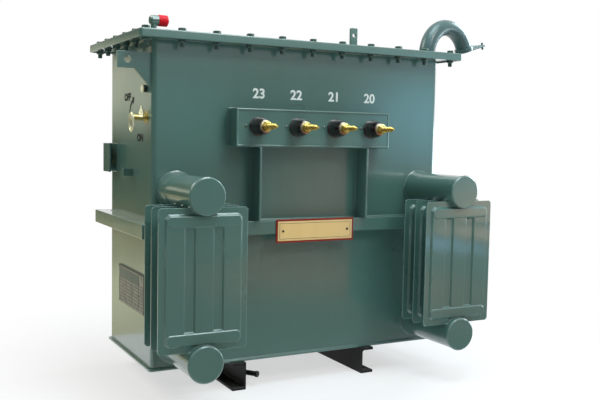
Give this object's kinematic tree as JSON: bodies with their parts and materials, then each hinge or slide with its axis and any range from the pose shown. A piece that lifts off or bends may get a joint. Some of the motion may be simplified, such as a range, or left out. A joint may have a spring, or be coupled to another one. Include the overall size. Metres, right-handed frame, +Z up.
{
  "type": "oil-filled distribution transformer",
  "caption": "Floor-standing oil-filled transformer: banded tank with bolted cover, pressed-fin radiators on header pipes, bushings in wall pockets, gooseneck vent and hooked breaker handle.",
  "frame": {"origin": "on the floor, at the centre of the foundation bolt holes, under the middle of the tank", "axes": "+X right along the low-voltage front, +Y to the rear, +Z up"},
  "size_m": [1.2178, 0.922, 1.0529],
  "materials": {
    "tank_paint": "semi-gloss grey-green enamel",
    "base_paint": "dark green-black enamel",
    "gasket": "cork and rubber sheet",
    "brass": "turned brass",
    "porcelain": "dark brown glaze",
    "name_plate": "cream enamel with a dark red border",
    "rating_plate": "satin sheet with ruled lines",
    "lamp": "dark body with a flat pale lens",
    "red_cap": "red moulded cap"
  },
  "bodies": {
    "transformer": {"band_front": "tank_paint", "band_left": "tank_paint", "band_rear": "tank_paint", "band_right": "tank_paint", "base_channel_left": "base_paint", "base_channel_right": "base_paint", "breaker_bearing": "brass", "cover": "tank_paint", "cover_gasket": "gasket", "cover_lug": "tank_paint", "drain_pipe": "tank_paint", "filling_valve": "tank_paint", "fin_left_inner": "tank_paint", "fin_left_middle": "tank_paint", "fin_left_outer": "tank_paint", "fin_right_inner": "tank_paint", "fin_right_middle": "tank_paint", "fin_right_outer": "tank_paint", "header_left_lower": "tank_paint", "header_left_upper": "tank_paint", "header_right_lower": "tank_paint", "header_right_upper": "tank_paint", "hv_bushings": "porcelain", "hv_pocket": "tank_paint", "hv_terminals": "brass", "lifting_lug_front": "tank_paint", "lifting_lug_rear": "tank_paint", "lv_bushing_1": "porcelain", "lv_bushing_2": "porcelain", "lv_bushing_3": "porcelain", "lv_bushing_4": "porcelain", "lv_pocket": "tank_paint", "lv_pocket_legs": "tank_paint", "lv_terminals": "brass", "name_plate": "name_plate", "rating_plate": "rating_plate", "side_bracket": "tank_paint", "side_tab": "tank_paint", "signal_lamp": "lamp", "tank_floor": "tank_paint", "tank_rim": "tank_paint", "tank_shell": "tank_paint", "valve_cap": "red_cap", "vent_collar": "tank_paint", "vent_pipe": "tank_paint"},
    "breaker_lever": {"breaker_lever": "brass"}
  },
  "joints": [
    {"name": "breaker_handle", "type": "hinge", "parent": "transformer", "child": "breaker_lever", "pos_m": [-0.444, -0.1425, 0.728], "axis": [-1, 0, 0], "range_deg": [-40, 90]}
  ]
}
